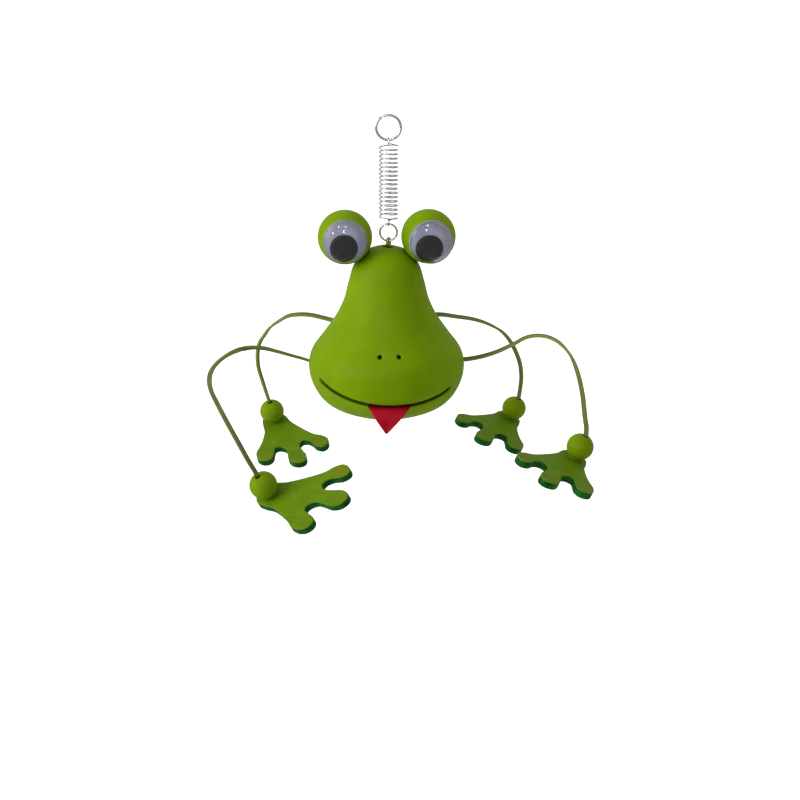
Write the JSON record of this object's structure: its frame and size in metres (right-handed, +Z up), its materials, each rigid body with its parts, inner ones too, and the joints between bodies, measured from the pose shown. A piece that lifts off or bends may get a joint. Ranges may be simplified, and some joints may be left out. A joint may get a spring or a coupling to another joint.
{
  "type": "hanging wooden frog on a spring",
  "caption": "Turned wooden frog with ball eyes, loose pupils and corded legs with beads and flat feet, bouncing on a coil spring hung from a ring.",
  "frame": {"origin": "where a hook bears on the inside of the top ring", "axes": "+Z up along the spring, the face looks along -Y, +X to the right seen from the front"},
  "size_m": [0.1695, 0.1518, 0.1761],
  "materials": {
    "body_paint": "satin leaf-green paint on turned wood",
    "bead_paint": "satin leaf-green paint on a turned wooden bead",
    "foot_paint": "thin green stain-like paint on plywood, darker emerald on the sawn edges",
    "lace_leather": "matte olive flat lace",
    "tongue_leather": "matte red",
    "eye_white": "smooth pale lavender white",
    "eye_clear": "clear blown dome",
    "pupil_black": "matte black",
    "spring_steel": "bright drawn wire",
    "ring_steel": "nickel plated",
    "brass": "bright brass plate",
    "bare_wood": "bare"
  },
  "bodies": {
    "hanger": {"hanging_ring": "ring_steel"},
    "spring": {"bounce_spring": "spring_steel"},
    "link": {"lower_ring": "ring_steel"},
    "frog": {"screw_eye": "brass", "body": "body_paint", "tongue": "tongue_leather", "eye_ball_left": "body_paint", "eye_ball_right": "body_paint", "eye_dowel_left": "bare_wood", "eye_dowel_right": "bare_wood", "eye_back_left": "eye_white", "eye_back_right": "eye_white", "eye_dome_left": "eye_clear", "eye_dome_right": "eye_clear"},
    "left_pupil": {"pupil_left": "pupil_black"},
    "right_pupil": {"pupil_right": "pupil_black"},
    "front_left_leg": {"front_left_lace": "lace_leather"},
    "front_left_paw": {"front_left_bead": "bead_paint", "front_left_foot": "foot_paint"},
    "front_right_leg": {"front_right_lace": "lace_leather"},
    "front_right_paw": {"front_right_bead": "bead_paint", "front_right_foot": "foot_paint"},
    "back_left_leg": {"back_left_lace": "lace_leather"},
    "back_left_paw": {"back_left_bead": "bead_paint", "back_left_foot": "foot_paint"},
    "back_right_leg": {"back_right_lace": "lace_leather"},
    "back_right_paw": {"back_right_bead": "bead_paint", "back_right_foot": "foot_paint"}
  },
  "joints": [
    {"name": "sway", "type": "hinge", "parent": "hanger", "child": "spring", "pos_m": [0, 0, -0.0048], "axis": [0, 1, 0], "range_deg": [-25, 25]},
    {"name": "bounce", "type": "slide", "parent": "spring", "child": "link", "axis": [0, 0, 1], "range_m": [-0.045, 0.02], "stiffness_N_per_m": 45, "springref_m": 0.0254, "deforming": ["bounce_spring"]},
    {"name": "nod", "type": "hinge", "parent": "link", "child": "frog", "pos_m": [0, 0, -0.05595], "axis": [1, 0, 0], "range_deg": [-20, 20]},
    {"name": "left_pupil_roll", "type": "hinge", "parent": "frog", "child": "left_pupil", "pos_m": [-0.01942, -0.01179, -0.05316], "axis": [0.0087, -0.999, -0.0436], "continuous": true},
    {"name": "right_pupil_roll", "type": "hinge", "parent": "frog", "child": "right_pupil", "pos_m": [0.01851, -0.01171, -0.05372], "axis": [0.0867, -0.9907, -0.1045], "continuous": true},
    {"name": "front_left_swing", "type": "hinge", "parent": "frog", "child": "front_left_leg", "pos_m": [-0.0364, 0.002, -0.11185], "axis": [0, 1, 0], "range_deg": [-20, 20], "stiffness_Nm_per_rad": 0.02, "springref_deg": 0.62},
    {"name": "front_left_flap", "type": "hinge", "parent": "front_left_leg", "child": "front_left_paw", "pos_m": [-0.0583, -0.06209, -0.14196], "axis": [-0.3841, -0.7761, -0.5001], "range_deg": [-15, 15], "stiffness_Nm_per_rad": 0.005, "springref_deg": 3.26},
    {"name": "front_right_swing", "type": "hinge", "parent": "frog", "child": "front_right_leg", "pos_m": [0.0346, 0.002, -0.11185], "axis": [0, -1, 0], "range_deg": [-20, 20], "stiffness_Nm_per_rad": 0.02, "springref_deg": 2.7},
    {"name": "front_right_flap", "type": "hinge", "parent": "front_right_leg", "child": "front_right_paw", "pos_m": [0.08617, -0.03559, -0.13617], "axis": [-0.7936, 0.4647, 0.3928], "range_deg": [-15, 15], "stiffness_Nm_per_rad": 0.005, "springref_deg": 3.21},
    {"name": "back_left_swing", "type": "hinge", "parent": "frog", "child": "back_left_leg", "pos_m": [-0.0201, 0.023, -0.09855], "axis": [0.7659, 0.6429, 0], "range_deg": [-20, 20], "stiffness_Nm_per_rad": 0.02, "springref_deg": 2.56},
    {"name": "back_left_flap", "type": "hinge", "parent": "back_left_leg", "child": "back_left_paw", "pos_m": [-0.0574, 0.05606, -0.15039], "axis": [-0.9145, -0.3118, -0.2579], "range_deg": [-15, 15], "stiffness_Nm_per_rad": 0.005, "springref_deg": 2.23},
    {"name": "back_right_swing", "type": "hinge", "parent": "frog", "child": "back_right_leg", "pos_m": [0.0183, 0.023, -0.09855], "axis": [0.7659, -0.6429, 0], "range_deg": [-20, 20], "stiffness_Nm_per_rad": 0.02, "springref_deg": 2.89},
    {"name": "back_right_flap", "type": "hinge", "parent": "back_right_leg", "child": "back_right_paw", "pos_m": [0.06899, 0.05686, -0.15077], "axis": [-0.794, 0.456, 0.402], "range_deg": [-15, 15], "stiffness_Nm_per_rad": 0.005, "springref_deg": 3.12}
  ]
}
